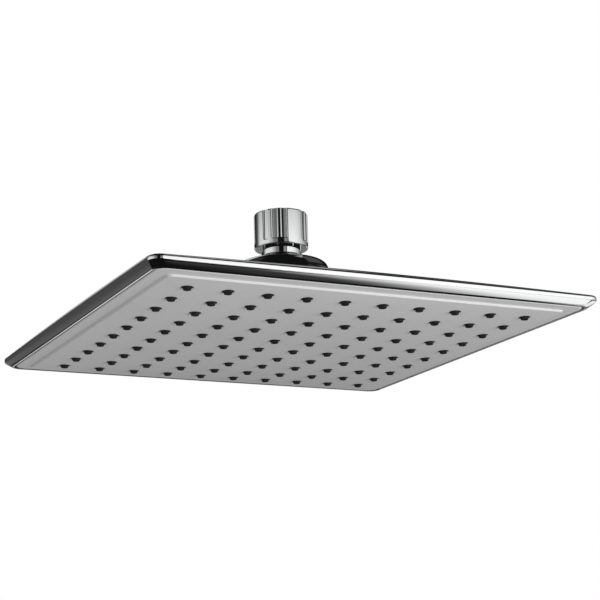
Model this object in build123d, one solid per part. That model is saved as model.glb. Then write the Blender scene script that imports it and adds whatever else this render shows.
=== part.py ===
from build123d import *
import math
import os

os.makedirs("parts", exist_ok=True)

# ---------------------------------------------------------------------------
# Square overhead rain shower head, 200 mm, chromed shell with a grey spray face.
# Millimetres, +Z up.  The origin is the centre of the inlet thread's mouth, where
# the thread starts inside the collar's lead-in chamfer.  All heights below are
# first written from the nozzle datum (the plane of the outermost nozzles) and
# then lowered by DROP.
# ---------------------------------------------------------------------------
COLLAR_TOP = 59.2         # top face of the collar above the nozzle datum
LEAD_IN = 0.7             # chamfer at the mouth of the thread
DROP = COLLAR_TOP - LEAD_IN

# spray face
PITCH = 17.05             # nozzle spacing
ROWS = 10                 # nozzles each way
FACE_HALF = 95.5          # half width of the grey face plate
FACE_CORNER = 5.0
FACE_Z = 1.40             # underside of the flat border
FACE_T = 2.25             # border thickness
PANEL_HALF = 88.8         # half width of the raised panel
PANEL_CORNER = 2.0
PANEL_Z = 0.45            # panel surface along its edge
PANEL_BULGE = 2.0         # extra depth of the pillow at the centre
PANEL_T = 2.2             # panel wall
HOLE_R = 2.5              # nozzle holes in the face plate

# silicone nozzles
PLUG_R = 2.42
TIP_BASE_R = 1.85
TIP_R = 1.45
TIP_DROP = 1.15           # tip below the panel surface
PLUG_IN = 0.28            # plug face inside the hole
JET_R = 0.55
FEED_R = 1.30
MAT_HALF = 81.0
MAT_CORNER = 6.0
MAT_T = 1.2
MAT_GAP = 0.04

# inner water plate and its screws
PLATE_T = 1.6
PLATE_HOLE_R = 1.4
SCREW_GRID = [(4, 4), (-4, 4), (4, -4), (-4, -4), (4, 0), (-4, 0), (0, 4), (0, -4),
              (2, 2), (-2, 2), (2, -2), (-2, -2)]
POST_R = 2.4              # screw posts on the face plate
PILOT_R = 1.25
SCREW_R = 1.2
SCREW_LEN = 4.3
SCREW_HEAD_R = 3.5
SCREW_HEAD_H = 1.6

# chromed cover
LIP_HALF = 97.0
LIP_Z = 1.3
LIP_CORNER = 5.0
RIM_HALF = 100.0
RIM_Z = 3.8
RIM_CORNER = 5.0
RIM_SOFT = 0.8            # soft crease between bevel and upright edge
RIM_ROUND = 1.4           # rounding onto the top
POCKET_HALF = 96.3        # recess that takes the face plate
LEDGE_Z = 3.70
CHAMBER_HALF = 91.0
CHAMBER_CORNER = 4.0
TOP_Z = 5.95              # top surface at the corners
TOP_BOW = 0.65            # rise of the top edge at mid side
TOP_RISE = 15.0           # rise of the pillow top
ROOF_T = 2.0
GROOVE_IN, GROOVE_OUT, GROOVE_TOP = 93.1, 95.1, 4.6
GASKET_IN, GASKET_OUT = 93.2, 95.0
CLIP_W, CLIP_T, CLIP_TOP, CLIP_BARB = 14.0, 1.4, 6.1, 0.5
CLIP_AT = (-42.0, 0.0, 42.0)

# turret and ball joint
BALL_Z = 27.0             # ball centre, the pivot
BALL_R = 12.0
PAD_R = 22.2
PAD_Z = 21.9
BOSS_R = 17.9
BOSS_TOP = 28.5
BOSS_BORE_R = 14.85
CUP_R = 17.4
CUP_FLOOR = 12.8
CUP_BOTTOM = 10.6
CUP_OUTLET_R = 5.5
CAP_R = 21.2
CAP_FOOT_R = 22.0         # the skirt widens slightly towards its foot
CAP_TOP = 36.95
CAP_OPEN_R = 11.6
CAP_POCKET_R = 14.25      # spherical pocket that holds the liner
CAP_THREAD_R = 17.95
LINER_IN, LINER_OUT = 12.06, 14.20
LINER_FROM, LINER_TO = 57.0, 97.0   # degrees from +Z
SEAT_BALL_R = 12.45
SEAT_R = 14.8
SEAT_TOP = -4.2           # from the ball centre
SEAT_BOTTOM = -14.2
SEAT_OUTLET_R = 4.2
SEAT_RING_H, SEAT_RING_MAJOR, SEAT_RING_MINOR = -10.2, 13.98, 0.85
BALL_RING_R, BALL_RING_MINOR, BALL_RING_ANGLE = 11.35, 1.0, 40.0

# inlet connector
COLLAR_R = 12.15
COLLAR_Z = 42.9
NECK_R = 8.95
NECK_WAIST_R = 8.3        # inside the cap's opening, so that the ball can tilt
NECK_WAIST_TOP, NECK_FULL = 38.6, 39.7
THREAD_R = 10.48          # G 1/2 female, thread ground at the major diameter
THREAD_DEPTH = 9.2        # from the collar's top face
SCREEN_POCKET_R, SCREEN_POCKET_T = 8.0, 1.3
REG_POCKET_R, REG_POCKET_T = 6.2, 5.0
WATERWAY_R = 5.0
FLUTE_GROUPS = 4
FLUTE_FIRST = -128.8      # centre of the first group, degrees
FLUTE_STEP = 21.0
FLUTE_HALF = 1.05         # half width of the floor, which is round about the collar's axis
FLUTE_LIP = 0.65          # rounding of the flute's edges
FLUTE_DEPTH = 0.85
FLUTE_END = 45.55         # lower end of the flutes' floor
FLUTE_RUNOUT = 0.55       # height of the sloping end below it

WASHER_R, WASHER_HOLE_R, WASHER_T = 9.30, 6.4, 2.0
WASHER_POCKET_R = 9.40


# ---------------------------------------------------------------------------
# helpers
# ---------------------------------------------------------------------------
def rounded(half, corner, z):
    return Pos(0, 0, z) * RectangleRounded(2 * half, 2 * half, corner)


def prism(half, corner, z0, z1):
    return extrude(rounded(half, corner, z0), amount=z1 - z0)


def cyl(r, z0, z1):
    return Pos(0, 0, z0) * Cylinder(r, z1 - z0, align=(Align.CENTER, Align.CENTER, Align.MIN))


def turned(points):
    """Solid of revolution about Z from (radius, height) points."""
    wire = Polyline(*[(r, 0, z) for r, z in points], close=True)
    return revolve(make_face(wire), axis=Axis.Z)


def pillow_drop(x, y):
    """Depth of the pillow panel below its own edge."""
    def f(t):
        t = t / PANEL_HALF
        return 1 - (0.28 * t ** 2 + 0.72 * t ** 4)
    return PANEL_BULGE * f(x) * f(y)


def panel_z(x, y):
    return PANEL_Z - pillow_drop(x, y)


def bezier_even(c2, c4):
    """Bernstein coefficients on [-1, 1] of c2*s^2 + c4*s^4."""
    p2 = (1.0, 0.0, -1 / 3, 0.0, 1.0)
    p4 = (1.0, -1.0, 1.0, -1.0, 1.0)
    return [c2 * a + c4 * b for a, b in zip(p2, p4)]


def pillow_sheet(z0, thickness):
    """Sheet that follows the pillow panel, from z0 above the panel surface."""
    f = [1 - v for v in bezier_even(0.28, 0.72)]
    xs = [-PANEL_HALF + PANEL_HALF * 0.5 * i for i in range(5)]
    net = [[(xs[i], xs[j], PANEL_Z + z0 - PANEL_BULGE * f[i] * f[j]) for j in range(5)] for i in range(5)]
    return extrude(Face.make_bezier_surface(net), amount=thickness, dir=(0, 0, 1))


def under_top(lower):
    """Everything below the cover's pillow top, lowered by the given wall."""
    reach = 1.06
    u = [reach ** 2 * v for v in (1.0, -1.0, 1.0)]
    xs = [-100 * reach, 0.0, 100 * reach]
    a = TOP_Z + 2 * TOP_BOW + TOP_RISE - lower
    b = -(TOP_BOW + TOP_RISE)
    net = [[(xs[i], xs[j], a + b * (u[i] + u[j]) + TOP_RISE * u[i] * u[j]) for j in range(3)] for i in range(3)]
    return extrude(Face.make_bezier_surface(net), amount=60, dir=(0, 0, -1))


def put(name, part):
    part = Pos(0, 0, -DROP) * part
    solids = part.solids()
    shape = solids[0] if len(solids) == 1 else Compound(children=list(solids))
    shape.label = name
    export_step(shape, "parts/%s.step" % name)
    print(name, len(solids), round(sum(s.volume for s in solids) / 1000, 3), "cm3")


GRID = [((i - (ROWS - 1) / 2) * PITCH, (j - (ROWS - 1) / 2) * PITCH) for i in range(ROWS) for j in range(ROWS)]
SCREWS = [(i * PITCH, j * PITCH) for i, j in SCREW_GRID]

# stacking heights above the panel surface
MAT_0 = PANEL_T + MAT_GAP
MAT_1 = MAT_0 + MAT_T
PLATE_0 = MAT_1 + 0.08
PLATE_1 = PLATE_0 + PLATE_T
SPOT = PLATE_1 - 0.12      # spot face under the screw heads


# ---------------------------------------------------------------------------
# inlet connector: fluted collar, neck and ball, turned from one piece
# ---------------------------------------------------------------------------
thread_floor = COLLAR_TOP - THREAD_DEPTH
washer_floor = thread_floor - WASHER_T
screen_floor = washer_floor - SCREEN_POCKET_T
reg_floor = screen_floor - REG_POCKET_T

collar = cyl(COLLAR_R, COLLAR_Z, COLLAR_TOP)
collar = fillet(collar.edges().filter_by(GeomType.CIRCLE).sort_by(Axis.Z)[-1], 0.7)
collar = fillet(collar.edges().filter_by(GeomType.CIRCLE).sort_by(Axis.Z)[0], 0.6)
# flutes with a round floor, upright sides, rounded edges and a sloping lower end
floor_r = COLLAR_R - FLUTE_DEPTH
floor_x = math.sqrt(floor_r ** 2 - FLUTE_HALF ** 2)
lip_y = FLUTE_HALF + FLUTE_LIP
lip_x = math.sqrt((COLLAR_R - FLUTE_LIP) ** 2 - lip_y ** 2)
lip_end = math.atan2(lip_y, lip_x)
lip_mid = (lip_end - math.pi / 2) / 2
mid_x, mid_y = lip_x + FLUTE_LIP * math.cos(lip_mid), lip_y + FLUTE_LIP * math.sin(lip_mid)
end_x, end_y = COLLAR_R * math.cos(lip_end), COLLAR_R * math.sin(lip_end)
flute_outline = Wire([
    Edge.make_three_point_arc((floor_x, -FLUTE_HALF, 0), (floor_r, 0, 0), (floor_x, FLUTE_HALF, 0)),
    Edge.make_line((floor_x, FLUTE_HALF, 0), (lip_x, FLUTE_HALF, 0)),
    Edge.make_three_point_arc((lip_x, FLUTE_HALF, 0), (mid_x, mid_y, 0), (end_x, end_y, 0)),
    Edge.make_line((end_x, end_y, 0), (COLLAR_R + 2, end_y, 0)),
    Edge.make_line((COLLAR_R + 2, end_y, 0), (COLLAR_R + 2, -end_y, 0)),
    Edge.make_line((COLLAR_R + 2, -end_y, 0), (end_x, -end_y, 0)),
    Edge.make_three_point_arc((end_x, -end_y, 0), (mid_x, -mid_y, 0), (lip_x, -FLUTE_HALF, 0)),
    Edge.make_line((lip_x, -FLUTE_HALF, 0), (floor_x, -FLUTE_HALF, 0))])
flute_face = make_face(flute_outline)
slope = math.hypot(FLUTE_DEPTH, FLUTE_RUNOUT)
flute = extrude(flute_face, amount=20, dir=(0, 0, 1))
flute += extrude(flute_face, amount=1.3 * slope, dir=(FLUTE_DEPTH / slope, 0, -FLUTE_RUNOUT / slope))
flute = Pos(0, 0, FLUTE_END) * flute
flutes = []
for g in range(FLUTE_GROUPS):
    for k in (-1, 0, 1):
        flutes.append(Rot(0, 0, FLUTE_FIRST + 360.0 / FLUTE_GROUPS * g + FLUTE_STEP * k) * flute)
collar -= flutes
ball = Pos(0, 0, BALL_Z) * Sphere(BALL_R)
neck = cyl(NECK_WAIST_R, BALL_Z, NECK_WAIST_TOP) + cyl(NECK_R, NECK_FULL, COLLAR_Z + 0.5)
neck += Pos(0, 0, NECK_WAIST_TOP) * Cone(NECK_WAIST_R, NECK_R, NECK_FULL - NECK_WAIST_TOP,
                                         align=(Align.CENTER, Align.CENTER, Align.MIN))
connector = collar + neck + ball
connector -= cyl(WATERWAY_R, BALL_Z - 20, reg_floor + 1)
connector -= cyl(REG_POCKET_R, reg_floor, screen_floor + 1)
connector -= cyl(SCREEN_POCKET_R, screen_floor, washer_floor + 1)
connector -= cyl(WASHER_POCKET_R, washer_floor, thread_floor + 1)
connector -= cyl(THREAD_R, thread_floor, COLLAR_TOP + 1)
connector -= Pos(0, 0, COLLAR_TOP - LEAD_IN) * Cone(THREAD_R, THREAD_R + 2 * LEAD_IN, 2 * LEAD_IN,
                                                    align=(Align.CENTER, Align.CENTER, Align.MIN))
ring_lat = BALL_RING_R * math.sin(math.radians(BALL_RING_ANGLE))
ring_h = BALL_Z - BALL_RING_R * math.cos(math.radians(BALL_RING_ANGLE))
connector -= Pos(0, 0, ring_h) * Torus(ring_lat, BALL_RING_MINOR + 0.05)
put("ball_connector", connector)

# flat rubber washer on the floor of the inlet thread
washer = cyl(WASHER_R, washer_floor, thread_floor - 0.02) - cyl(WASHER_HOLE_R, washer_floor - 1, thread_floor + 1)
washer = fillet(washer.edges().filter_by(GeomType.CIRCLE), 0.25)
put("inlet_washer", washer)

# strainer disc under the washer
screen = cyl(SCREEN_POCKET_R - 0.1, screen_floor, screen_floor + 1.25)
screen -= cyl(SCREEN_POCKET_R - 1.1, screen_floor + 0.45, screen_floor + 3)
pin_holes = []
for i in range(-6, 7):
    for j in range(-6, 7):
        x = 1.25 * (i + 0.5 * j)
        y = 1.25 * math.sqrt(3) / 2 * j
        if math.hypot(x, y) < SCREEN_POCKET_R - 1.75:
            pin_holes.append(Pos(x, y, screen_floor) * Cylinder(0.42, 4))
screen -= pin_holes
put("filter_screen", screen)

# flow regulator cartridge: cup with a centre pin, slots round the pin and an elastic ring
reg = cyl(REG_POCKET_R - 0.05, reg_floor, screen_floor - 0.05)
reg -= cyl(4.9, reg_floor + 1.4, screen_floor + 1)
reg += cyl(1.9, reg_floor + 1.0, screen_floor - 1.0)
reg -= [Rot(0, 0, 60 * k) * Pos(3.35, 0, reg_floor) * Box(1.9, 1.5, 8) for k in range(6)]
put("flow_regulator", reg)
put("regulator_ring", Pos(0, 0, reg_floor + 1.4 + 0.92) * Torus(3.35, 0.9))

# ---------------------------------------------------------------------------
# ball joint in the turret
# ---------------------------------------------------------------------------
put("ball_seal_ring", Pos(0, 0, ring_h) * Torus(ring_lat, BALL_RING_MINOR))


def shell_sector(r_in, r_out, deg0, deg1):
    """Ring cut from a spherical shell between two angles from +Z."""
    def pt(r, d):
        return (r * math.sin(math.radians(d)), 0, r * math.cos(math.radians(d)))
    m = (deg0 + deg1) / 2
    outline = Wire([Edge.make_three_point_arc(pt(r_in, deg0), pt(r_in, m), pt(r_in, deg1)),
                    Edge.make_line(pt(r_in, deg1), pt(r_out, deg1)),
                    Edge.make_three_point_arc(pt(r_out, deg1), pt(r_out, m), pt(r_out, deg0)),
                    Edge.make_line(pt(r_out, deg0), pt(r_in, deg0))])
    return revolve(make_face(outline), axis=Axis.Z)


put("ball_liner", Pos(0, 0, BALL_Z) * shell_sector(LINER_IN, LINER_OUT, LINER_FROM, LINER_TO))

seat = cyl(SEAT_R, BALL_Z + SEAT_BOTTOM, BALL_Z + SEAT_TOP)
seat -= Pos(0, 0, BALL_Z) * Sphere(SEAT_BALL_R)
seat -= cyl(SEAT_OUTLET_R, 0, BALL_Z)
seat -= cyl(SEAT_R + 1, BALL_Z + SEAT_RING_H - 0.95, BALL_Z + SEAT_RING_H + 0.95) - cyl(SEAT_RING_MAJOR - SEAT_RING_MINOR - 0.03, 0, BALL_Z)
put("ball_seat", seat)
put("seat_seal_ring", Pos(0, 0, BALL_Z + SEAT_RING_H) * Torus(SEAT_RING_MAJOR, SEAT_RING_MINOR))

# dome cap: screws on the cover's boss and holds the ball down
crown = [(CAP_OPEN_R, CAP_TOP - 0.02), (15.0, CAP_TOP - 0.17), (17.0, CAP_TOP - 0.44), (18.0, CAP_TOP - 0.70),
         (19.0, CAP_TOP - 1.10), (20.0, CAP_TOP - 1.82), (20.6, CAP_TOP - 2.66), (21.0, CAP_TOP - 3.95),
         (CAP_R, CAP_TOP - 6.2)]
crown_edge = Edge.make_spline([Vector(r, 0, z) for r, z in crown], tangents=[Vector(1, 0, -0.01), Vector(0.1, 0, -1)])
p_end = crown_edge @ 1
cap_outline = Wire([crown_edge,
                    Edge.make_line(p_end, (CAP_FOOT_R, 0, PAD_Z + 0.05)),
                    Edge.make_line((CAP_FOOT_R, 0, PAD_Z + 0.05), (CAP_THREAD_R, 0, PAD_Z + 0.05)),
                    Edge.make_line((CAP_THREAD_R, 0, PAD_Z + 0.05), (CAP_THREAD_R, 0, BOSS_TOP + 0.05)),
                    Edge.make_line((CAP_THREAD_R, 0, BOSS_TOP + 0.05), (CAP_OPEN_R, 0, BOSS_TOP + 0.05)),
                    Edge.make_line((CAP_OPEN_R, 0, BOSS_TOP + 0.05), crown_edge @ 0)])
cap = revolve(make_face(cap_outline), axis=Axis.Z)
cap -= Pos(0, 0, BALL_Z) * Sphere(CAP_POCKET_R)
cap = chamfer(cap.edges().filter_by(GeomType.CIRCLE).group_by(Axis.Z)[0].sort_by(SortBy.LENGTH)[-1], 0.4)
put("dome_cap", cap)

# ---------------------------------------------------------------------------
# chromed top cover
# ---------------------------------------------------------------------------
bevel = loft([rounded(LIP_HALF, LIP_CORNER, LIP_Z), rounded(RIM_HALF, RIM_CORNER, RIM_Z)], ruled=True)
body = bevel + prism(RIM_HALF, RIM_CORNER, RIM_Z, 40)
body = body & under_top(0)
top_edges = [e for e in body.edges() if e.center().Z > TOP_Z - 0.05 and max(abs(e.center().X), abs(e.center().Y)) > 97.5
             and abs(e.tangent_at(0.5).Z) < 0.3]
body = fillet(top_edges, RIM_ROUND)
crease = [e for e in body.edges() if abs(e.center().Z - RIM_Z) < 0.02 and abs(e.tangent_at(0.5).Z) < 0.05]
body = fillet(crease, RIM_SOFT)
body += cyl(PAD_R, PAD_Z - 6, PAD_Z)
# shell out
chamber = prism(CHAMBER_HALF, CHAMBER_CORNER, LEDGE_Z - 0.5, 40) & under_top(ROOF_T)
cover = body - chamber
cover -= prism(POCKET_HALF, FACE_CORNER, 0, LEDGE_Z)
groove = prism(GROOVE_OUT, 3.5, LEDGE_Z - 0.5, GROOVE_TOP) - prism(GROOVE_IN, 2.5, LEDGE_Z - 1, GROOVE_TOP + 1)
cover -= groove
# boss and inlet cup
cover += cyl(BOSS_R, PAD_Z - 4, BOSS_TOP)
cover += cyl(CUP_R, CUP_BOTTOM, PAD_Z - 1)
cover -= cyl(BOSS_BORE_R, CUP_FLOOR, 60)
cover -= cyl(CUP_OUTLET_R, 0, 60)
# stiffening webs between cup and roof
webs = []
for k in range(8):
    webs.append(Rot(0, 0, 45 * k) * (Pos(0, 0, 15.4) * Box(100, 1.6, 6, align=(Align.MIN, Align.CENTER, Align.MIN))))
web_zone = cyl(44, 15.4, 21.6) & under_top(ROOF_T - 0.6)
web_zone -= cyl(CUP_R - 0.5, 0, 60)
cover += [w & web_zone for w in webs]
# recesses for the face plate's clips
slots = []
for k in range(4):
    for s in CLIP_AT:
        slots.append(Rot(0, 0, 90 * k) * Pos(s, CHAMBER_HALF, 4.95) * Box(CLIP_W + 1, 1.6, 1.4, align=(Align.CENTER, Align.CENTER, Align.MIN)))
cover -= slots
put("top_cover", cover)

# ---------------------------------------------------------------------------
# spray face
# ---------------------------------------------------------------------------
border = prism(FACE_HALF, FACE_CORNER, FACE_Z, FACE_Z + FACE_T)
low_edges = [e for e in border.edges() if abs(e.center().Z - FACE_Z) < 0.01]
border = fillet(low_edges, 0.7)
border -= prism(PANEL_HALF - 2.0, 2.0, 0, 10)
panel = pillow_sheet(0, PANEL_T) & prism(PANEL_HALF, PANEL_CORNER, -10, 10)
face = border + panel
posts = []
pilots = []
for x, y in SCREWS:
    z = panel_z(x, y)
    posts.append(Pos(x, y, 0) * cyl(POST_R, z + PANEL_T - 0.8, z + PLATE_1 - 0.3))
    pilots.append(Pos(x, y, 0) * cyl(PILOT_R, z + PLATE_1 - 0.3 - 4.4, z + 12))
face += posts
face -= pilots
clips = []
for k in range(4):
    for s in CLIP_AT:
        outer = CHAMBER_HALF - 0.15
        blade = Box(CLIP_W, CLIP_T, CLIP_TOP - 3.0, align=(Align.CENTER, Align.MAX, Align.MIN))
        barb = Pos(0, 0, CLIP_TOP - 3.0 - 1.0) * Box(CLIP_W, CLIP_BARB, 1.0, align=(Align.CENTER, Align.MIN, Align.MIN))
        clips.append(Rot(0, 0, 90 * k) * Pos(s, outer, 3.0) * (blade + barb))
face += clips
face -= [Pos(x, y, 0) * Cylinder(HOLE_R, 30) for x, y in GRID]
put("face_plate", face)

# one-piece silicone mat with its nozzles
nozzle = turned([(0, MAT_0 + MAT_T * 0.5), (PLUG_R, MAT_0 + MAT_T * 0.5), (PLUG_R, PLUG_IN), (TIP_BASE_R + 0.15, PLUG_IN),
                 (TIP_BASE_R, -0.2), (TIP_R + 0.12, -TIP_DROP + 0.12),
                 (TIP_R - 0.05, -TIP_DROP), (0, -TIP_DROP)])
feed = cyl(FEED_R, -0.55, 8) + Pos(0, 0, -1.6) * Cylinder(JET_R, 6, align=(Align.CENTER, Align.CENTER, Align.MIN))
mat = pillow_sheet(MAT_0, MAT_T) & prism(MAT_HALF, MAT_CORNER, -10, 20)
mat -= [Pos(x, y, 0) * Cylinder(POST_R + 0.4, 30) for x, y in SCREWS]
mat += [Pos(x, y, panel_z(x, y)) * nozzle for x, y in GRID]
mat -= [Pos(x, y, panel_z(x, y)) * feed for x, y in GRID]
put("nozzle_mat", mat)

# inner water plate that clamps the mat
plate = pillow_sheet(PLATE_0, PLATE_T) & prism(MAT_HALF, MAT_CORNER, -10, 20)
plate -= [Pos(x, y, 0) * Cylinder(PLATE_HOLE_R, 30) for x, y in GRID]
plate -= [Pos(x, y, 0) * Cylinder(POST_R + 0.15, 30) for x, y in SCREWS]
plate -= [Pos(x, y, 0) * cyl(SCREW_HEAD_R + 0.2, panel_z(x, y) + SPOT, 20) for x, y in SCREWS]
put("water_plate", plate)

# washer-head screws through the plate into the posts
screw = turned([(0, -SCREW_LEN), (SCREW_R - 0.4, -SCREW_LEN), (SCREW_R, -SCREW_LEN + 0.5), (SCREW_R, 0),
                (SCREW_HEAD_R, 0), (SCREW_HEAD_R, 0.55), (2.3, 0.75), (2.1, SCREW_HEAD_H - 0.3),
                (1.7, SCREW_HEAD_H), (0, SCREW_HEAD_H)])
screw -= Pos(0, 0, SCREW_HEAD_H) * (Box(2.6, 0.6, 1.6) + Box(0.6, 2.6, 1.6))
put("chamber_screws", Compound(children=[Pos(x, y, panel_z(x, y) + SPOT + 0.005) * screw for x, y in SCREWS]))

# flat perimeter gasket between face plate and cover
gasket = prism(GASKET_OUT, 3.4, FACE_Z + FACE_T + 0.01, GROOVE_TOP - 0.02) - prism(GASKET_IN, 2.6, 0, 20)
put("chamber_gasket", gasket)
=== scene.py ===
import bpy
import bmesh
import math
import numpy as np
from mathutils import Matrix, Vector


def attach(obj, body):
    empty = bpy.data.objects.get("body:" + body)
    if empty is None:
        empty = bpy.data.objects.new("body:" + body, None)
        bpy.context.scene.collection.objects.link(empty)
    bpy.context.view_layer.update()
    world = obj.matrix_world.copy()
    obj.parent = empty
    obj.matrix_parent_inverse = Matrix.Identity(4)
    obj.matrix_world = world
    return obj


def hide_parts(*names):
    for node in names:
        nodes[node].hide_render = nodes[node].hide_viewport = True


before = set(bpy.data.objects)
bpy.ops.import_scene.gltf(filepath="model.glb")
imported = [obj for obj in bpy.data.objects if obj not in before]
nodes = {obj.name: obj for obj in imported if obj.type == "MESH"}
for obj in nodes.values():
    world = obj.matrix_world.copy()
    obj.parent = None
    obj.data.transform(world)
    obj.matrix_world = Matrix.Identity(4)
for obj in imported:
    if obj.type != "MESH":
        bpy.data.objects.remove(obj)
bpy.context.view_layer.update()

# ---------------------------------------------------------------------------
# dimensions in millimetres, heights from the nozzle datum
# ---------------------------------------------------------------------------
DROP = 58.5
PITCH, ROWS = 17.05, 10
FACE_HALF, FACE_CORNER, FACE_Z, FACE_T = 95.5, 5.0, 1.40, 2.25
PANEL_HALF, PANEL_Z, PANEL_BULGE, PANEL_T = 88.8, 0.45, 2.0, 2.2
HOLE_R = 2.5
MAT_HALF, MAT_0, MAT_T = 81.0, 2.24, 1.2
LIP_HALF, LIP_Z, RIM_HALF, RIM_Z = 97.0, 1.3, 100.0, 3.8
POCKET_HALF, LEDGE_Z, CHAMBER_HALF = 96.3, 3.7, 91.0
RIM_CORNER, RIM_ROUND, RIM_SOFT, LIP_ROUND = 5.0, 1.65, 0.8, 0.7
RIM_TIGHT = 0.95
PAD_R, PAD_Z, BOSS_R, BOSS_TOP = 22.2, 21.9, 17.9, 28.5
CAP_R, CAP_TOP, CAP_OPEN_R, BALL_Z = 21.2, 36.95, 11.6, 27.0
THREAD_R, THREAD_IN, THREAD_PITCH = 10.48, 9.36, 1.814
COLLAR_TOP, THREAD_DEPTH = 59.2, 9.2
GRID = [(i - (ROWS - 1) / 2) * PITCH for i in range(ROWS)]


def pillow(x, y):
    """Height of the spray panel's surface."""
    def f(t):
        t = t / PANEL_HALF
        return 1 - (0.28 * t ** 2 + 0.72 * t ** 4)
    return PANEL_Z - PANEL_BULGE * f(x) * f(y)


def back(x, y):
    """Height of the cover's domed back."""
    a, b = (x / 100.0) ** 2, (y / 100.0) ** 2
    return 5.95 + 0.65 * (2 - a - b) + 15.0 * (1 - a) * (1 - b)


# ---------------------------------------------------------------------------
# mesh helpers
# ---------------------------------------------------------------------------
def loft(rings, closed=False, around=True):
    """Vertices and quads of a surface through rings of the same point count."""
    n = len(rings[0])
    verts = np.concatenate([np.asarray(r, float) for r in rings])
    faces = []
    m = len(rings)
    for k in range(m if closed else m - 1):
        a, b = k * n, ((k + 1) % m) * n
        for i in range(n if around else n - 1):
            j = (i + 1) % n
            faces.append((a + i, a + j, b + j, b + i))
    return verts, faces


def join(parts):
    verts, faces, base = [], [], 0
    for v, f in parts:
        verts.append(np.asarray(v, float))
        faces += [tuple(base + i for i in q) for q in f]
        base += len(v)
    return np.concatenate(verts), faces


def piece(name, verts, faces, material, body, slot, stands_for=None, sharp=32.0, weighted=True):
    v = np.array(verts, float)
    v[:, 2] -= DROP
    v /= 1000.0
    me = bpy.data.meshes.new(name)
    me.from_pydata([tuple(p) for p in v], [], faces)
    bm = bmesh.new()
    bm.from_mesh(me)
    bmesh.ops.remove_doubles(bm, verts=bm.verts, dist=1e-6)
    bmesh.ops.dissolve_degenerate(bm, edges=bm.edges, dist=1e-7)
    bmesh.ops.recalc_face_normals(bm, faces=bm.faces)
    bm.to_mesh(me)
    bm.free()
    me.shade_smooth()
    me.set_sharp_from_angle(angle=math.radians(sharp))
    ob = bpy.data.objects.new(name, me)
    bpy.context.scene.collection.objects.link(ob)
    me.materials.append(material)
    if weighted:
        w = ob.modifiers.new("even_normals", "WEIGHTED_NORMAL")
        w.mode = "FACE_AREA"
        w.weight = 50
        w.keep_sharp = True
    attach(ob, body)
    if stands_for:
        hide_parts(stands_for)
    return ob


def turned(profile, segments):
    """Closed solid of revolution from a closed (radius, height) loop."""
    rings = []
    for k in range(segments):
        a = 2 * math.pi * k / segments
        rings.append([(r * math.cos(a), r * math.sin(a), z) for r, z in profile])
    verts, faces = loft(rings, closed=True, around=True)
    return verts, faces


def arc(cx, cz, r, deg0, deg1, n):
    return [(cx + r * math.cos(math.radians(deg0 + (deg1 - deg0) * k / n)),
             cz + r * math.sin(math.radians(deg0 + (deg1 - deg0) * k / n))) for k in range(n + 1)]


def rounded_path(points, n=5):
    """2-D path; a point given with a radius becomes an arc."""
    out = []
    for i, p in enumerate(points):
        if len(p) < 3 or p[2] <= 0 or i in (0, len(points) - 1):
            out.append((p[0], p[1]))
            continue
        a, b, c = (np.array(points[k][:2], float) for k in (i - 1, i, i + 1))
        u, w = (a - b) / np.linalg.norm(a - b), (c - b) / np.linalg.norm(c - b)
        half = math.acos(max(-1, min(1, float(u @ w)))) / 2
        t = p[2] / math.tan(half)
        mid = (u + w) / np.linalg.norm(u + w)
        centre = b + mid * (p[2] / math.sin(half))
        s, e = b + u * t - centre, b + w * t - centre
        s0, e0 = math.atan2(s[1], s[0]), math.atan2(e[1], e[0])
        d = (e0 - s0 + math.pi) % (2 * math.pi) - math.pi
        for k in range(n + 1):
            g = s0 + d * k / n
            out.append((centre[0] + p[2] * math.cos(g), centre[1] + p[2] * math.sin(g)))
    return out


def smooth_curve(points, start, end, n):
    """Cubic spline through 2-D points with given end directions."""
    p = np.array(points, float)
    t = np.concatenate([[0], np.cumsum(np.linalg.norm(np.diff(p, axis=0), axis=1))])
    m = len(p)
    a = np.zeros((m, m))
    b = np.zeros((m, 2))
    a[0, 0] = a[-1, -1] = 1
    b[0], b[-1] = np.array(start) / np.linalg.norm(start), np.array(end) / np.linalg.norm(end)
    for i in range(1, m - 1):
        h0, h1 = t[i] - t[i - 1], t[i + 1] - t[i]
        a[i, i - 1], a[i, i], a[i, i + 1] = h1, 2 * (h0 + h1), h0
        b[i] = 3 * (h1 * (p[i] - p[i - 1]) / h0 + h0 * (p[i + 1] - p[i]) / h1)
    d = np.linalg.solve(a, b)
    out = []
    for s in np.linspace(0, t[-1], n):
        i = min(max(int(np.searchsorted(t, s) - 1), 0), m - 2)
        h = t[i + 1] - t[i]
        u = (s - t[i]) / h
        out.append(tuple((2 * u ** 3 - 3 * u ** 2 + 1) * p[i] + (u ** 3 - 2 * u ** 2 + u) * h * d[i]
                         + (-2 * u ** 3 + 3 * u ** 2) * p[i + 1] + (u ** 3 - u ** 2) * h * d[i + 1]))
    return out


# rounded squares: every ring has the same points, sides first and then a corner, four times round
SIDE, CORNER = 44, 14


def square_ring(half, corner):
    pts = []
    e = half - corner
    for q in range(4):
        c, s = (1, 0, -1, 0)[q], (0, 1, 0, -1)[q]
        for k in range(SIDE):
            x, y = half, -e + 2 * e * k / SIDE
            pts.append((c * x - s * y, s * x + c * y))
        for k in range(CORNER):
            g = math.pi / 2 * k / CORNER
            x, y = e + corner * math.cos(g), e + corner * math.sin(g)
            pts.append((c * x - s * y, s * x + c * y))
    return np.array(pts)


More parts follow.
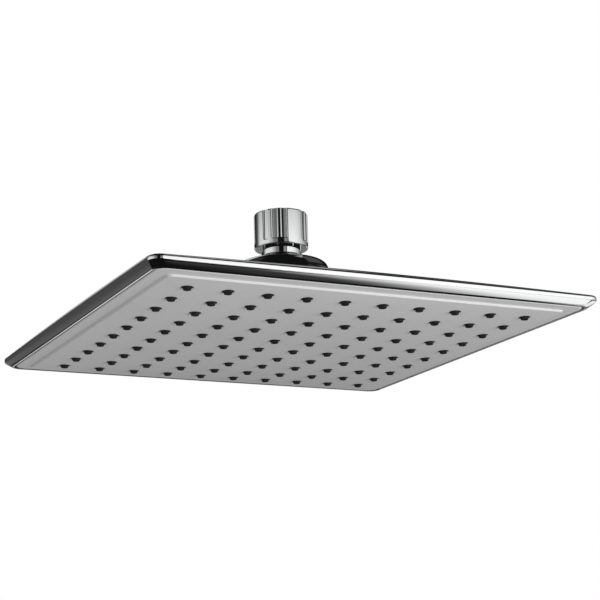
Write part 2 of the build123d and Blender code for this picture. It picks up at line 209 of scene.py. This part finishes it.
def round_ring(r):
    """Circle with the points of a rounded square: a side's points take most of its quarter."""
    pts = []
    span = math.radians(72)
    for q in range(4):
        for k in range(SIDE):
            g = q * math.pi / 2 - span / 2 + span * k / SIDE
            pts.append((r * math.cos(g), r * math.sin(g)))
        for k in range(CORNER):
            g = q * math.pi / 2 + span / 2 + (math.pi / 2 - span) * k / CORNER
            pts.append((r * math.cos(g), r * math.sin(g)))
    return np.array(pts)


def with_z(xy, z):
    return np.c_[xy, np.broadcast_to(z, (len(xy),))]


# ---------------------------------------------------------------------------
# procedural materials
# ---------------------------------------------------------------------------
def new_material(name):
    m = bpy.data.materials.new(name)
    m.use_nodes = True
    t = m.node_tree
    t.nodes.clear()
    out = t.nodes.new("ShaderNodeOutputMaterial")
    p = t.nodes.new("ShaderNodeBsdfPrincipled")
    t.links.new(p.outputs["BSDF"], out.inputs["Surface"])
    return m, t, p


def noise(t, scale, detail=3.0, rough=0.5, source=None):
    n = t.nodes.new("ShaderNodeTexNoise")
    n.inputs["Scale"].default_value = scale
    n.inputs["Detail"].default_value = detail
    n.inputs["Roughness"].default_value = rough
    if source is None:
        source = t.nodes.new("ShaderNodeTexCoord").outputs["Object"]
    t.links.new(source, n.inputs["Vector"])
    return n.outputs["Fac"]


def ramp(t, fac, stops):
    r = t.nodes.new("ShaderNodeValToRGB")
    els = r.color_ramp.elements
    while len(els) < len(stops):
        els.new(0.5)
    for e, (pos, col) in zip(els, stops):
        e.position = pos
        e.color = (*col, 1.0)
    t.links.new(fac, r.inputs["Fac"])
    return r.outputs["Color"]


def remap(t, fac, lo, hi, a=0.3, b=0.7):
    r = t.nodes.new("ShaderNodeMapRange")
    r.inputs["From Min"].default_value, r.inputs["From Max"].default_value = a, b
    r.inputs["To Min"].default_value, r.inputs["To Max"].default_value = lo, hi
    t.links.new(fac, r.inputs["Value"])
    return r.outputs["Result"]


def bump(t, p, height, strength, distance):
    b = t.nodes.new("ShaderNodeBump")
    b.inputs["Strength"].default_value = strength
    b.inputs["Distance"].default_value = distance
    t.links.new(height, b.inputs["Height"])
    t.links.new(b.outputs["Normal"], p.inputs["Normal"])


def chrome(name, wave):
    m, t, p = new_material(name)
    p.inputs["Metallic"].default_value = 1.0
    cloud = noise(t, 26.0, 4.0)
    t.links.new(ramp(t, cloud, [(0.30, (0.845, 0.850, 0.856)), (0.70, (0.875, 0.880, 0.885))]), p.inputs["Base Color"])
    t.links.new(remap(t, noise(t, 340.0, 5.0, 0.62), 0.022, 0.05), p.inputs["Roughness"])
    bump(t, p, noise(t, wave, 1.0), 0.05, 0.00006)
    return m


def plastic(name, light, dark, rough, grain, depth, spec=0.5):
    m, t, p = new_material(name)
    p.inputs["Specular IOR Level"].default_value = spec
    t.links.new(ramp(t, noise(t, 38.0, 5.0, 0.6), [(0.32, dark), (0.68, light)]), p.inputs["Base Color"])
    fine = noise(t, grain, 3.0, 0.6)
    t.links.new(remap(t, fine, rough - 0.05, rough + 0.05), p.inputs["Roughness"])
    bump(t, p, fine, 0.25, depth)
    return m


def g(v):
    return (v, v, v)


CHROME_SHELL = chrome("chrome_shell_finish", 110.0)
CHROME_BRASS = chrome("chrome_brass_finish", 160.0)
FACE = plastic("spray_face_satin", g(0.425), g(0.405), 0.46, 2600.0, 0.00003, 0.35)
SILICONE = plastic("nozzle_silicone", (0.0105, 0.0105, 0.0108), (0.0072, 0.0072, 0.0075), 0.50, 3400.0, 0.00002, 0.19)
RUBBER = plastic("seal_rubber_black", (0.030, 0.030, 0.030), (0.020, 0.020, 0.020), 0.60, 2400.0, 0.00002)
ACETAL = plastic("acetal_white", (0.80, 0.80, 0.77), (0.75, 0.75, 0.72), 0.35, 1500.0, 0.00001)
INNER = plastic("inner_plastic_pale", (0.70, 0.70, 0.68), (0.64, 0.64, 0.62), 0.45, 1800.0, 0.00002)


def steel(name):
    m, t, p = new_material(name)
    p.inputs["Metallic"].default_value = 1.0
    coord = t.nodes.new("ShaderNodeTexCoord").outputs["Object"]
    stretch = t.nodes.new("ShaderNodeMapping")
    stretch.inputs["Scale"].default_value = (1.0, 9.0, 9.0)
    t.links.new(coord, stretch.inputs["Vector"])
    line = noise(t, 900.0, 4.0, 0.6, stretch.outputs["Vector"])
    t.links.new(ramp(t, line, [(0.3, (0.55, 0.55, 0.54)), (0.7, (0.66, 0.66, 0.65))]), p.inputs["Base Color"])
    t.links.new(remap(t, line, 0.22, 0.36), p.inputs["Roughness"])
    bump(t, p, line, 0.2, 0.00001)
    return m


STEEL = steel("stainless_strainer")

for node, material in {"ball_connector": CHROME_BRASS, "inlet_washer": RUBBER, "filter_screen": STEEL,
                       "flow_regulator": ACETAL, "regulator_ring": RUBBER, "ball_seal_ring": RUBBER,
                       "ball_liner": ACETAL, "dome_cap": CHROME_BRASS, "ball_seat": ACETAL,
                       "seat_seal_ring": RUBBER, "top_cover": CHROME_SHELL, "face_plate": FACE,
                       "nozzle_mat": SILICONE, "water_plate": INNER, "chamber_screws": STEEL,
                       "chamber_gasket": RUBBER}.items():
    mats = nodes[node].data.materials
    mats.clear()
    mats.append(material)

# ---------------------------------------------------------------------------
# chromed cover: bevelled edge with a faint crown, soft crease, upright, rounded rim, domed back
# ---------------------------------------------------------------------------
CROWN = 0.10


def cover():
    a, b = np.array([LIP_HALF, LIP_Z]), np.array([RIM_HALF, RIM_Z])
    along = (b - a) / np.linalg.norm(b - a)
    out = np.array([along[1], -along[0]])
    length = np.linalg.norm(b - a)
    end_dir = along - out * (4 * CROWN / length)
    end_dir /= np.linalg.norm(end_dir)
    stop = b - end_dir * 0.36
    # crown from the lip to just under the crease
    crown = []
    for k in range(1, 14):
        t = k / 14
        p = a + (stop - a) * t + out * (4 * CROWN * t * (1 - t))
        crown.append((p[0], p[1]))
    lower = rounded_path([(POCKET_HALF + 0.02, LIP_Z), (a[0], a[1], 0.0), *crown, (stop[0], stop[1]),
                          (b[0], b[1], RIM_SOFT), (RIM_HALF, 4.3)], 8)
    # a small round where the lip turns up into the bevel
    first = np.array(lower[2]) - a
    first /= np.linalg.norm(first)
    half = (math.pi - math.acos(float(first[0]))) / 2
    r = LIP_ROUND
    t = r / math.tan(half)
    centre = a + np.array([-t, r])
    turn = math.acos(float(first[0]))
    lip = [(centre[0] + r * math.sin(turn * k / 5), centre[1] - r * math.cos(turn * k / 5)) for k in range(6)]
    path = [(POCKET_HALF + 0.12, LIP_Z)] + lip + [p for p in lower[2:] if p[1] > lip[-1][1] + 0.05]
    rings = [with_z(square_ring(h, FACE_CORNER if k == 0 else RIM_CORNER), z) for k, (h, z) in enumerate(path)]
    # rounded rim, blending onto the domed back whose height changes along the edge
    edge = square_ring(RIM_HALF, RIM_CORNER)
    inner = square_ring(RIM_HALF - 0.5, RIM_CORNER - 0.5)
    inward = (inner - edge) / np.linalg.norm(inner - edge, axis=1)[:, None]
    top = back(edge[:, 0], edge[:, 1])
    step = edge + inward * 0.01
    slope = (back(step[:, 0], step[:, 1]) - top) / 0.01
    along_edge = np.minimum(np.abs(edge[:, 0]), np.abs(edge[:, 1])) / RIM_HALF
    radius = RIM_TIGHT + (RIM_ROUND - RIM_TIGHT) * (1 - along_edge ** 2)
    root = np.sqrt(1 + slope ** 2)
    zc = top + radius * slope - radius * root
    reach = math.pi / 2 - np.arctan(slope)
    for k in range(0, 19):
        phi = reach * k / 18
        u = radius - radius * np.cos(phi)
        z = zc + radius * np.sin(phi)
        rings.append(np.c_[edge + inward * u[:, None], z])
    # domed back, from the rim's square to the round pad
    count = 46
    for k in range(count + 1):
        s = k / count
        h = 98.3 + (PAD_R - 98.3) * s
        c = RIM_CORNER - 1.7 + 12.0 * s
        w = s * s * (3 - 2 * s)
        xy = (1 - w) * square_ring(h, min(c, h * 0.9)) + w * round_ring(h)
        rings.append(with_z(xy, back(xy[:, 0], xy[:, 1])))
    # pad, boss, bore and cup
    for r_, z_ in rounded_path([(PAD_R, 21.4), (PAD_R, 21.62), (PAD_R, PAD_Z, 0.18), (20.6, PAD_Z), (BOSS_R, PAD_Z, 0.2),
                                (BOSS_R, BOSS_TOP, 0.3), (14.85, BOSS_TOP, 0.3), (14.85, 12.8, 0.2), (5.5, 12.8, 0.2),
                                (5.5, 10.6, 0.2), (17.4, 10.6, 0.4), (17.4, 16.0)], 4)[1:]:
        rings.append(with_z(round_ring(r_), z_))
    # roof underside and chamber wall
    for k in range(23):
        s = k / 22
        h = 17.4 + (CHAMBER_HALF - 17.4) * s
        w = (1 - s) ** 2 * (1 + 2 * s)
        c = 4.0 + 12.0 * (1 - s)
        xy = (1 - w) * square_ring(h, min(c, h * 0.9)) + w * round_ring(h)
        rings.append(with_z(xy, back(xy[:, 0], xy[:, 1]) - 2.0))
    for h, c, z in [(CHAMBER_HALF, 4.0, LEDGE_Z), (93.1, 2.5, LEDGE_Z), (93.1, 2.5, 4.6), (95.1, 3.5, 4.6), (95.1, 3.5, LEDGE_Z),
                    (POCKET_HALF, FACE_CORNER, LEDGE_Z), (POCKET_HALF, FACE_CORNER, LIP_Z + 0.12)]:
        rings.append(with_z(square_ring(h, c), z))
    return loft(rings, closed=True)


COVER = piece("cover_shell", *cover(), CHROME_SHELL, "head", "chrome_shell", "top_cover", sharp=34.0)


# ---------------------------------------------------------------------------
# dome cap: a low turned crown with a plain skirt, over the boss
# ---------------------------------------------------------------------------
def dome():
    crown = smooth_curve([(CAP_OPEN_R + 0.25, CAP_TOP - 0.01), (15.0, CAP_TOP - 0.17), (17.0, CAP_TOP - 0.44), (18.0, CAP_TOP - 0.70),
                          (19.0, CAP_TOP - 1.10), (20.0, CAP_TOP - 1.82), (20.6, CAP_TOP - 2.66), (21.0, CAP_TOP - 3.95),
                          (CAP_R, CAP_TOP - 6.2)], (1, -0.01), (0.1, -1), 54)
    skirt = rounded_path([(CAP_R + 0.03, 30.5), (CAP_R + 0.45, 26.0), (CAP_R + 0.8, PAD_Z + 0.05, 0.35), (18.6, PAD_Z + 0.05), (17.95, PAD_Z + 0.05, 0.2),
                          (17.95, BOSS_TOP + 0.05, 0.2), (14.4, BOSS_TOP + 0.05)], 5)
    h0 = BOSS_TOP + 0.05 - BALL_Z
    a0 = math.degrees(math.asin(h0 / 14.25))
    a1 = math.degrees(math.acos(CAP_OPEN_R / 14.25))
    pocket = arc(0.0, BALL_Z, 14.25, a0, a1, 10)
    mouth = rounded_path([pocket[-1], (CAP_OPEN_R, CAP_TOP - 1.2), (CAP_OPEN_R, CAP_TOP - 0.01, 0.25), (CAP_OPEN_R + 0.6, CAP_TOP - 0.012)], 5)[1:-1]
    return turned(crown + skirt + pocket + mouth, 160)


DOME = piece("cap_dome", *dome(), CHROME_BRASS, "head", "chrome_brass", "dome_cap", sharp=34.0)


# ---------------------------------------------------------------------------
# spray face: pillow panel of ten by ten cells, each with a soft-edged hole, step and border
# ---------------------------------------------------------------------------
CELL = 8


def cell_square(x0, x1, y0, y1):
    pts = []
    for (ax, ay), (bx, by) in (((x1, y0), (x1, y1)), ((x1, y1), (x0, y1)), ((x0, y1), (x0, y0)), ((x0, y0), (x1, y0))):
        for k in range(CELL):
            t = k / CELL
            pts.append((ax + (bx - ax) * t, ay + (by - ay) * t))
    return np.array(pts)


def cell_circle(cx, cy, r):
    n = 4 * CELL
    return np.array([(cx + r * math.cos(2 * math.pi * (k - CELL / 2) / n), cy + r * math.sin(2 * math.pi * (k - CELL / 2) / n))
                     for k in range(n)])


def on_pillow(xy, dz):
    return np.c_[xy, pillow(xy[:, 0], xy[:, 1]) + dz]


def face_cell(cx, cy):
    p = PITCH / 2
    sq = cell_square(cx - p, cx + p, cy - p, cy + p)
    rings = [on_pillow(sq, 0.0)]
    soft = 0.10
    for w in (0.35, 0.7):
        rings.append(on_pillow((1 - w) * sq + w * cell_circle(cx, cy, HOLE_R + soft + 0.5), 0.0))
    rings.append(on_pillow(cell_circle(cx, cy, HOLE_R + soft + 0.45), 0.0))
    for k in range(5):
        a = math.pi / 2 * k / 4
        rings.append(on_pillow(cell_circle(cx, cy, HOLE_R + soft - soft * math.sin(a)), soft - soft * math.cos(a)))
    rings.append(on_pillow(cell_circle(cx, cy, HOLE_R), PANEL_T))
    rings.append(on_pillow(cell_circle(cx, cy, HOLE_R + 1.2), PANEL_T))
    rings.append(on_pillow(sq, PANEL_T))
    return loft(rings)


EDGE_N = ROWS * CELL
ARC_N = 10


def block_ring(half):
    """The panel's ten by ten block outline, with spare copies of each corner for the rounded edges further out."""
    pts = []
    for q in range(4):
        c, s = (1, 0, -1, 0)[q], (0, 1, 0, -1)[q]
        for k in range(EDGE_N):
            x, y = half, -half + 2 * half * k / EDGE_N
            pts.append((c * x - s * y, s * x + c * y))
        for k in range(ARC_N):
            pts.append((c * half - s * half, s * half + c * half))
    return np.array(pts)


def frame_ring(half, corner):
    pts = []
    e = half - corner
    for q in range(4):
        c, s = (1, 0, -1, 0)[q], (0, 1, 0, -1)[q]
        for k in range(EDGE_N):
            x, y = half, -e + 2 * e * k / EDGE_N
            pts.append((c * x - s * y, s * x + c * y))
        for k in range(ARC_N):
            g_ = math.pi / 2 * k / ARC_N
            x, y = e + corner * math.cos(g_), e + corner * math.sin(g_)
            pts.append((c * x - s * y, s * x + c * y))
    return np.array(pts)


def face():
    parts = [face_cell(x, y) for x in GRID for y in GRID]
    rings = []
    block = block_ring(ROWS * PITCH / 2)
    rings.append(on_pillow(block, 0.0))
    # the pillow runs out nearly level towards the panel's edge
    out = pillow(block[:, 0], block[:, 1])
    level = 0.50 + 0.45 * (out - 0.42)
    for h, c, t in ((86.2, 0.6, 0.35), (87.2, 1.0, 0.68), (88.2, 1.5, 0.95)):
        rings.append(np.c_[frame_ring(h, c), out + (level - out) * t])
    path = rounded_path([(88.2, PANEL_Z), (PANEL_HALF, PANEL_Z, 0.14), (PANEL_HALF, FACE_Z, 0.40), (90.5, FACE_Z), (93.5, FACE_Z),
                         (94.4, FACE_Z), (FACE_HALF, FACE_Z, 0.7), (FACE_HALF, 3.0), (FACE_HALF, FACE_Z + FACE_T, 0.2),
                         (93.0, FACE_Z + FACE_T), (86.8, FACE_Z + FACE_T, 0.2), (86.8, 2.65)], 6)[1:]
    for h, z in path:
        corner = 2.0 + (FACE_CORNER - 2.0) * min(max((h - PANEL_HALF) / (FACE_HALF - PANEL_HALF), 0), 1)
        if h < PANEL_HALF:
            corner = max(0.8, 2.0 - (PANEL_HALF - h))
        if z < FACE_Z:
            z = FACE_Z - (FACE_Z - z) * (FACE_Z - level) / (FACE_Z - PANEL_Z)
        rings.append(with_z(frame_ring(h, corner), z))
    xy = frame_ring(86.8, 0.8)
    rings[-1] = np.c_[xy, pillow(xy[:, 0], xy[:, 1]) + PANEL_T]
    rings.append(on_pillow(block, PANEL_T))
    parts.append(loft(rings))
    return join(parts)


FACE_PIECE = piece("spray_face", *face(), FACE, "head", "face_grey", "face_plate", sharp=40.0)


# ---------------------------------------------------------------------------
# silicone mat: one sheet behind the face with a hundred tapered nozzles through it
# ---------------------------------------------------------------------------
def nozzle_cell(cx, cy):
    p = PITCH / 2
    sq = cell_square(max(cx - p, -MAT_HALF), min(cx + p, MAT_HALF), max(cy - p, -MAT_HALF), min(cy + p, MAT_HALF))
    base = float(pillow(cx, cy))
    rings = [on_pillow(sq, MAT_0)]
    profile = rounded_path([(2.47, MAT_0), (2.47, 0.28), (2.0, 0.28), (1.86, -0.2, 0.10),
                            (1.52, -1.15, 0.16), (0.95, -1.18), (0.62, -1.15, 0.08), (0.55, -0.60), (1.30, -0.50), (1.30, MAT_0 + MAT_T)], 4)
    for r, z in profile:
        xy = cell_circle(cx, cy, r)
        if z > 2.0:
            rings.append(on_pillow(xy, z))
        else:
            rings.append(with_z(xy, base + z))
    rings.append(on_pillow(sq, MAT_0 + MAT_T))
    return loft(rings)


def mat():
    parts = [nozzle_cell(x, y) for x in GRID for y in GRID]
    n = EDGE_N
    # the sheet's outer edge, following the cells' own points
    xs = []
    for x in GRID:
        lo, hi = max(x - PITCH / 2, -MAT_HALF), min(x + PITCH / 2, MAT_HALF)
        xs += [lo + (hi - lo) * k / CELL for k in range(CELL)]
    xs = np.array(xs)
    pts = np.concatenate([np.c_[np.full(n, MAT_HALF), xs], np.c_[-xs, np.full(n, MAT_HALF)],
                          np.c_[np.full(n, -MAT_HALF), -xs], np.c_[xs, np.full(n, -MAT_HALF)]])
    parts.append(loft([on_pillow(pts, MAT_0), on_pillow(pts, MAT_0 + MAT_T)]))
    return join(parts)


MAT = piece("nozzle_sheet", *mat(), SILICONE, "head", "silicone", "nozzle_mat", sharp=48.0)


# ---------------------------------------------------------------------------
# inlet thread: right-hand pipe thread ridge in the collar's bore
# ---------------------------------------------------------------------------
def thread():
    z0, z1 = COLLAR_TOP - THREAD_DEPTH + 0.95, COLLAR_TOP - 0.75
    turns = (z1 - z0) / THREAD_PITCH
    per = 90
    n = int(turns * per)
    depth = THREAD_R - THREAD_IN
    section = [(-0.02, -0.86), (-0.30, -0.70), (-depth + 0.17, -0.24), (-depth + 0.04, -0.12), (-depth, 0.0), (-depth + 0.04, 0.12),
               (-depth + 0.17, 0.24), (-0.30, 0.70), (-0.02, 0.86), (0.06, 0.86), (0.06, -0.86)]
    rings = []
    for k in range(n + 1):
        a = 2 * math.pi * k / per
        fade = min(1.0, k / (per * 0.35), (n - k) / (per * 0.35))
        fade = 0.04 + 0.96 * fade * fade * (3 - 2 * fade)
        z = z0 + THREAD_PITCH * k / per
        rings.append([((THREAD_R + (dr * fade if dr < 0 else dr)) * math.cos(a), (THREAD_R + (dr * fade if dr < 0 else dr)) * math.sin(a),
                       z + dz * (0.4 + 0.6 * fade)) for dr, dz in section])
    verts, faces = loft(rings)
    m = len(section)
    faces.append(tuple(range(m)))
    faces.append(tuple(range(len(verts) - m, len(verts))))
    return verts, faces


THREAD = piece("inlet_thread_ridge", *thread(), CHROME_BRASS, "inlet", "chrome_brass", None, sharp=50.0, weighted=False)

# ---------------------------------------------------------------------------
# floor, light and camera
# ---------------------------------------------------------------------------
floor_me = bpy.data.meshes.new("floor")
bm = bmesh.new()
bmesh.ops.create_circle(bm, cap_ends=True, segments=96, radius=14.0)
bm.to_mesh(floor_me)
bm.free()
floor = bpy.data.objects.new("floor", floor_me)
bpy.context.scene.collection.objects.link(floor)
floor.location = (0, 0, -0.85)
fm, ft, fp = new_material("pale_floor")
ft.links.new(ramp(ft, noise(ft, 1.4, 3.0), [(0.3, g(0.84)), (0.7, g(0.88))]), fp.inputs["Base Color"])
fp.inputs["Roughness"].default_value = 0.85
floor_me.materials.append(fm)
floor.visible_glossy = False
floor.visible_diffuse = False
floor.visible_shadow = False

VIEW_AZ = math.radians(-25.264)
world = bpy.data.worlds.new("studio")
bpy.context.scene.world = world
world.use_nodes = True
wt = world.node_tree
wt.nodes.clear()


def wmath(op, a, b=None, c=None):
    n = wt.nodes.new("ShaderNodeMath")
    n.operation = op
    for i, v in enumerate((a, b, c)):
        if v is None:
            continue
        if isinstance(v, (int, float)):
            n.inputs[i].default_value = v
        else:
            wt.links.new(v, n.inputs[i])
    return n.outputs[0]


def wstep(v, lo, hi, a=0.0, b=1.0):
    n = wt.nodes.new("ShaderNodeMapRange")
    n.interpolation_type = "SMOOTHSTEP"
    n.inputs["From Min"].default_value, n.inputs["From Max"].default_value = lo, hi
    n.inputs["To Min"].default_value, n.inputs["To Max"].default_value = a, b
    wt.links.new(v, n.inputs["Value"])
    return n.outputs["Result"]


direction = wt.nodes.new("ShaderNodeTexCoord").outputs["Generated"]
split = wt.nodes.new("ShaderNodeSeparateXYZ")
wt.links.new(direction, split.inputs[0])
dx, dy, dz = split.outputs
sv, cv = math.sin(VIEW_AZ), math.cos(VIEW_AZ)
toward = wmath("ADD", wmath("MULTIPLY", dx, sv), wmath("MULTIPLY", dy, -cv))
side = wmath("ADD", wmath("MULTIPLY", dx, cv), wmath("MULTIPLY", dy, sv))
az = wmath("MULTIPLY", wmath("ARCTAN2", side, toward), 180 / math.pi)
el = wmath("MULTIPLY", wmath("ARCSINE", dz), 180 / math.pi)
azb = wmath("SUBTRACT", 180.0, wmath("ABSOLUTE", az))


def panel(a0, a1, e0, e1, soft_a=4.0, soft_e=4.0, level=1.0, angle=None, soft_top=None):
    """A soft-edged light panel between two azimuths and two elevations."""
    v = az if angle is None else angle
    m = wmath("MULTIPLY", wstep(v, a0 - soft_a, a0 + soft_a), wstep(v, a1 - soft_a, a1 + soft_a, 1.0, 0.0))
    n = wmath("MULTIPLY", wstep(el, e0 - soft_e, e0 + soft_e), wstep(el, e1 - (soft_top or soft_e), e1 + (soft_top or soft_e), 1.0, 0.0))
    return wmath("MULTIPLY", wmath("MULTIPLY", m, n), level)


lamps = []
# right-hand screen: tall, its lower edge rising towards the front
low = wmath("MULTIPLY_ADD", wmath("MAXIMUM", wmath("SUBTRACT", 85.0, az), 0.0), 0.8, -59.25)
low = wmath("MULTIPLY_ADD", wmath("MAXIMUM", wmath("SUBTRACT", 50.0, az), 0.0), 2.0, low)
above = wstep(wmath("SUBTRACT", el, low), -4.75, 4.75)
near = wmath("MULTIPLY", wstep(az, 25, 33), wstep(az, 115, 121, 1.0, 0.0))
strip = wmath("MULTIPLY_ADD", wmath("MAXIMUM", wmath("SUBTRACT", -20.0, el), 0.0), 0.5, 70.0)
strip = wmath("MULTIPLY_ADD", wmath("MAXIMUM", wmath("SUBTRACT", -48.0, el), 0.0), 4.0, strip)
near = wmath("MULTIPLY", near, wstep(wmath("SUBTRACT", az, strip), -2.0, 3.0, 1.0, 0.0))
lamps.append(wmath("MULTIPLY", wmath("MULTIPLY", near, wstep(el, -20.5, -17.5, 1.06, 0.0)), above))
# and sweeps round to the right, low at the front and rising towards the back
sweep = wmath("SUBTRACT", el, wmath("MULTIPLY_ADD", az, 0.96, -163.0))
turn_back = wmath("MULTIPLY", wmath("MULTIPLY", wstep(az, 113, 119), wstep(az, 146, 154, 1.0, 0.0)),
                  wmath("MULTIPLY", wstep(sweep, -16, -10), wstep(sweep, 8, 12, 1.0, 0.0)))
lamps.append(wmath("MULTIPLY", turn_back, wstep(el, -57, -53, 0.0, 0.95)))
fall = wstep(az, 55, 150, 1.18, 0.14)
lamps.append(wmath("MULTIPLY", wmath("MULTIPLY", panel(29, 151, -12, 17.4, 4, 1.5, 1.0, None, 3.0), above), fall))
lamps.append(panel(14, 29, 0, 18.0, 4, 5, 0.26, None, 2.5))
lamps.append(wmath("MULTIPLY", wstep(az, 76, 84), wmath("MULTIPLY", wstep(az, 116, 126, 0.034, 0.0), wmath("MULTIPLY", wstep(el, -70, -64), wstep(el, -62, -58, 1.0, 0.0)))))
# left-hand screen
left = wmath("MULTIPLY", wstep(az, -128, -96), wstep(az, -64, -20, 1.0, 0.22))
lamps.append(wmath("MULTIPLY", panel(-190, -14, -10, 17.6, 4, 5, 0.86, None, 3.0), left))
# dim walls
over = wmath("SUBTRACT", el, wmath("MULTIPLY_ADD", az, 0.75, 116.25))
wall = wmath("MULTIPLY", wstep(el, -39, -29), wstep(over, 0.3, 1.3, 1.0, 0.0))
wall = wmath("MULTIPLY", wall, wmath("MULTIPLY", wstep(az, -149.5, -146.5), wstep(az, -130, -118, 1.0, 0.0)))
lamps.append(wmath("MULTIPLY", wall, wstep(az, -147, -139, 0.098, 0.06)))
line = wmath("MULTIPLY", wmath("MULTIPLY", wstep(over, 6, 9), wstep(over, 19, 22, 1.0, 0.0)), wstep(az, -137, -133, 0.8, 0.0))
lamps.append(wmath("MULTIPLY", line, wmath("MULTIPLY", wstep(el, 18.5, 20.5), wstep(el, 26, 30, 1.0, 0.0))))
lamps.append(panel(70, 130, 24, 62, 5, 4, 0.065))
lamps.append(panel(-135, -60, 22, 60, 10, 4, 0.025))
# low backdrop
lamps.append(panel(-60, 35, -16.5, 5, 4, 1.5, 0.22, azb))
lamps.append(panel(-172, -156, -28, -17, 2, 2, 1.1))
lamps.append(panel(148, 166, -9, 5, 4, 2, 0.6))
# overhead and high back-left screens
roof = wstep(dx, 0.425, 0.465, 1.0, 0.0)
lamps.append(wmath("MULTIPLY", panel(60, 172, 52, 68, 6, 4, 0.28), roof))
lamps.append(panel(-176, -128, 34, 56, 6, 4, 0.6))
light = 0.006
for lamp in lamps:
    light = wmath("ADD", light, lamp)
studio = light

path = wt.nodes.new("ShaderNodeLightPath")
mix1 = wt.nodes.new("ShaderNodeMix")
mix1.data_type = "FLOAT"
mix1.inputs[2].default_value = 0.40
wt.links.new(path.outputs["Is Glossy Ray"], mix1.inputs[0])
wt.links.new(studio, mix1.inputs[3])
mix2 = wt.nodes.new("ShaderNodeMix")
mix2.data_type = "FLOAT"
mix2.inputs[3].default_value = 1.0
wt.links.new(path.outputs["Is Camera Ray"], mix2.inputs[0])
wt.links.new(mix1.outputs[0], mix2.inputs[2])
background = wt.nodes.new("ShaderNodeBackground")
background.inputs["Color"].default_value = (1.0, 1.0, 1.0, 1.0)
wt.links.new(mix2.outputs[0], background.inputs["Strength"])
world_out = wt.nodes.new("ShaderNodeOutputWorld")
wt.links.new(background.outputs[0], world_out.inputs["Surface"])


def area(name, place, aim, size, watts, glossy=False):
    d = bpy.data.lights.new(name, "AREA")
    d.shape = "RECTANGLE"
    d.size, d.size_y = size
    d.energy = watts
    o = bpy.data.objects.new(name, d)
    bpy.context.scene.collection.objects.link(o)
    o.location = place
    o.rotation_mode = "QUATERNION"
    o.rotation_quaternion = (Vector(aim) - Vector(place)).to_track_quat("-Z", "Y")
    o.visible_glossy = glossy
    o.visible_camera = False
    return o


area("front_fill", (0.355, -0.766, -0.36), (0, 0, -0.05), (0.8, 0.5), 11.7)
area("left_fill", (-0.92, -0.35, -0.42), (0, 0, -0.05), (0.7, 0.5), 4.7)

scene = bpy.context.scene
scene.view_settings.view_transform = "Standard"
scene.view_settings.look = "None"
scene.view_settings.exposure = 0.0
scene.view_settings.gamma = 1.0

cam_data = bpy.data.cameras.new("camera")
cam_data.sensor_width = 36.0
cam_data.lens = 100.5304
cam_data.clip_start, cam_data.clip_end = 0.01, 50.0
cam = bpy.data.objects.new("camera", cam_data)
scene.collection.objects.link(cam)
right_v = (0.90248586, -0.42980595, -0.02803776)
up_v = (-0.07942835, -0.23005189, 0.96993158)
back_v = (-0.4233325, -0.87312254, -0.24175735)
place = (-0.31008492, -0.65724087, -0.22017269)
cam.matrix_world = Matrix([[right_v[i], up_v[i], back_v[i], place[i]] for i in range(3)] + [[0, 0, 0, 1]])
scene.camera = cam
